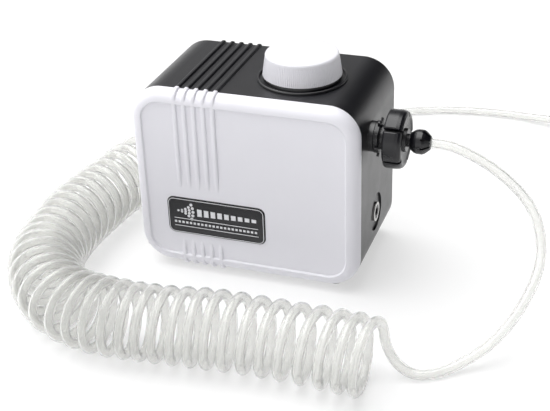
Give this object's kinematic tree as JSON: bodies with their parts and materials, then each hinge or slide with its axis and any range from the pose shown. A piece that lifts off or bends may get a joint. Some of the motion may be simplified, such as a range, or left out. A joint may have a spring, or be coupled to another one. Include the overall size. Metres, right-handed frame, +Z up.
{
  "type": "airbrush compressor",
  "caption": "Small boxed diaphragm air compressor with a pressure dial on top, a side air outlet with a lobed union knob, and a clear coiled hose.",
  "frame": {"origin": "on the surface that the feet stand on, under the middle of the box around the case and its outlet fittings", "axes": "+Z up, +X towards the air outlet side, -Y towards the front cover with the badge"},
  "size_m": [0.3414, 0.4074, 0.1435],
  "materials": {
    "white_shell": "satin white moulded plastic",
    "white_dial": "satin white moulded plastic, knurled skirt",
    "black_shell": "satin black moulded plastic",
    "black_fitting": "semi-gloss black nylon",
    "badge": null,
    "rubber": "matt black rubber",
    "steel": "zinc-plated steel",
    "nickel": "bright nickel plate",
    "bronze": "sintered bronze",
    "aluminium": "die-cast, matt",
    "pump_plastic": "glass-filled nylon, matt",
    "magnet": "ferrite, matt",
    "board": "green solder mask",
    "component": "moulded component bodies",
    "wire_red": "soft insulation",
    "felt": "pressed felt",
    "hose": "clear flexible hose",
    "air_tube": "translucent silicone"
  },
  "bodies": {
    "root": {"front_cover": "white_shell", "main_case": "black_shell", "badge_plate": "badge", "rubber_feet": "rubber", "case_screws": "steel", "dial_collar": "black_shell", "dial_control": "component", "dial_nut": "steel", "outlet_barrel": "black_fitting", "outlet_lock_ring": "black_fitting", "hose_stem": "black_fitting", "jack_socket": "black_fitting", "jack_bezel": "nickel", "jack_pin": "nickel", "jack_nut": "nickel", "pump_cradle": "steel", "cradle_grommets": "rubber", "cradle_screws": "steel", "motor_saddle": "rubber", "motor_strap": "steel", "motor_can": "steel", "motor_end_cap": "pump_plastic", "motor_bushings": "bronze", "motor_magnets": "magnet", "motor_screws": "steel", "pump_housing": "pump_plastic", "diaphragm": "rubber", "valve_plate": "pump_plastic", "reed_valves": "rubber", "head_gasket": "rubber", "cylinder_head": "aluminium", "intake_filter": "felt", "filter_cap": "pump_plastic", "head_screws": "steel", "outlet_tube": "air_tube", "tube_clips": "steel", "control_board": "board", "board_parts": "component", "board_screws": "steel", "motor_leads": "wire_red", "jack_leads": "wire_red", "dial_leads": "wire_red", "hose_lead": "hose", "hose_coil": "hose", "hose_tail": "hose", "end_ferrule": "nickel"},
    "dial": {"dial_knob": "white_dial", "dial_shaft": "steel"},
    "union": {"union_knob": "black_fitting"},
    "hose_nut_body": {"hose_nut": "black_fitting"},
    "crank": {"motor_shaft": "steel", "motor_rotor": "steel", "crank_disc": "aluminium", "crank_pin": "steel"},
    "rod": {"connecting_rod": "pump_plastic", "rod_bearing": "bronze", "clamp_plate": "aluminium", "clamp_screw": "steel"},
    "end_swivel": {"end_nut": "nickel"}
  },
  "joints": [
    {"name": "dial_turn", "type": "hinge", "parent": "root", "child": "dial", "pos_m": [0.0075, -0.0008, 0.1265], "axis": [0, 0, -1], "range_deg": [0, 270]},
    {"name": "union_turn", "type": "hinge", "parent": "root", "child": "union", "pos_m": [0.0651, -0.014, 0.099], "axis": [1, 0, 0], "range_deg": [0, 270]},
    {"name": "hose_nut_turn", "type": "hinge", "parent": "root", "child": "hose_nut_body", "pos_m": [0.0851, -0.014, 0.099], "axis": [1, 0, 0], "range_deg": [0, 270]},
    {"name": "crank_turn", "type": "hinge", "parent": "root", "child": "crank", "pos_m": [-0.0184, 0.004, 0.046], "axis": [1, 0, 0], "continuous": true},
    {"name": "rod_swing", "type": "hinge", "parent": "crank", "child": "rod", "pos_m": [-0.0454, 0.006, 0.046], "axis": [1, 0, 0], "continuous": true},
    {"name": "end_nut_turn", "type": "hinge", "parent": "root", "child": "end_swivel", "pos_m": [0.154, 0.235, 0.0065], "axis": [1, 0, 0], "continuous": true}
  ],
  "couplings": [
    {"joint": "rod_swing", "follows": "crank_turn", "ratio": -1}
  ]
}
